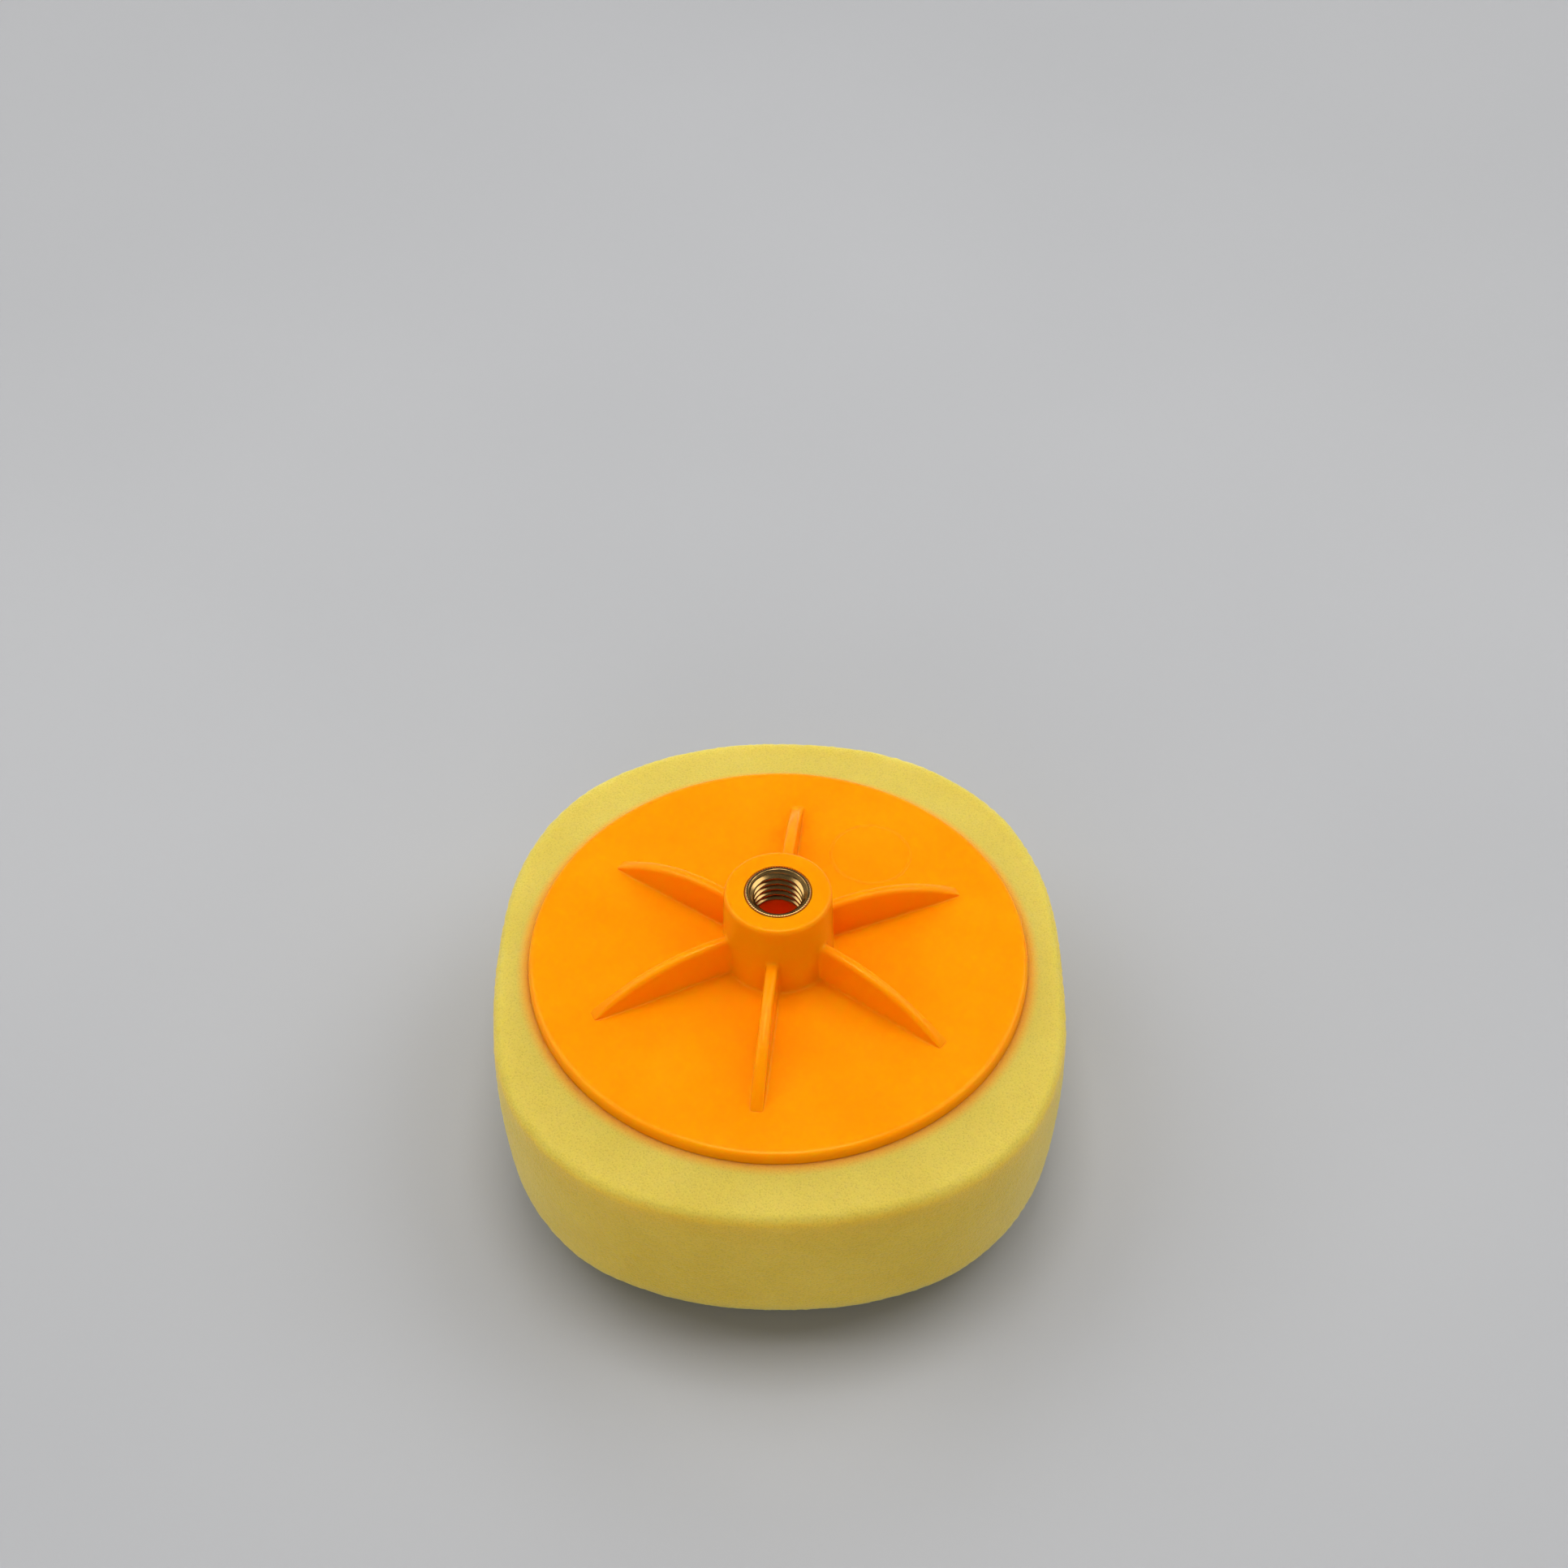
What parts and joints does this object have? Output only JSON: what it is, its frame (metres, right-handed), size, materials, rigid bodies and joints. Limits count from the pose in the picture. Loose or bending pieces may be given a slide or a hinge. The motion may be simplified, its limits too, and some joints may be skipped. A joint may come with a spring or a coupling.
{
  "type": "polishing pad",
  "caption": "Round open-cell foam polishing pad bonded to a ribbed moulded backing plate whose central boss holds a threaded brass spindle insert.",
  "frame": {"origin": "centre of the foam's working face, the lowest point on the spindle axis when the pad lies flat on its foam", "axes": "+Z along the spindle axis, from the foam's working face to the mouth of the threaded insert; +X and +Y lie in the working face, with the first rib 23.9 degrees from +X toward +Y"},
  "size_m": [0.152, 0.152, 0.0781],
  "materials": {
    "foam": "open-cell polyurethane foam, matt",
    "adhesive": "cured film of contact adhesive",
    "plate_plastic": "glossy injection-moulded plastic",
    "insert_brass": "turned and knurled"
  },
  "bodies": {
    "root": {"foam_pad": "foam", "adhesive_layer": "adhesive", "backing_plate": "plate_plastic", "threaded_insert": "insert_brass"}
  },
  "joints": []
}
